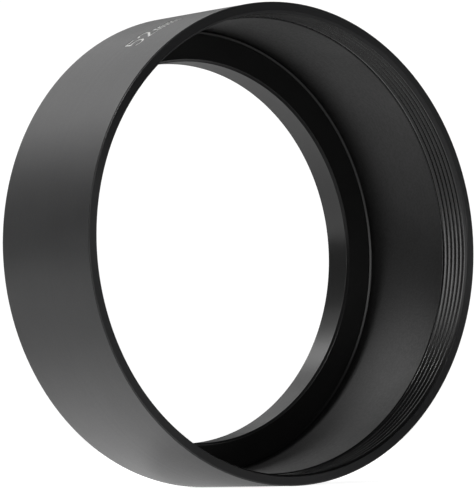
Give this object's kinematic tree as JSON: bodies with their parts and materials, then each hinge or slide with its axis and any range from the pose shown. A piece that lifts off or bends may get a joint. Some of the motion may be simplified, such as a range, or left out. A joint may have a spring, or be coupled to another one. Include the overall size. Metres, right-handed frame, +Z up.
{
  "type": "lens hood",
  "caption": "Straight round metal screw-in lens hood with a threaded front rim and a threaded rear mount ring.",
  "frame": {"origin": "centre of the lens seat, the flat ring round the threaded collar that stops against the front of the lens, on the optical axis", "axes": "+Y along the optical axis towards the lens, so the hood looks along -Y; +Z up, with the size marking near the top; +X to the right for someone who looks into the front of the hood"},
  "size_m": [0.06, 0.0232, 0.06],
  "materials": {
    "barrel_anodised": "bead-blasted, satin black anodised",
    "ring_anodised": "fine turned, matte black anodised",
    "marking_enamel": "white enamel"
  },
  "bodies": {
    "root": {"hood_barrel": "barrel_anodised", "mount_ring": "ring_anodised", "marking_infill": "marking_enamel"}
  },
  "joints": []
}
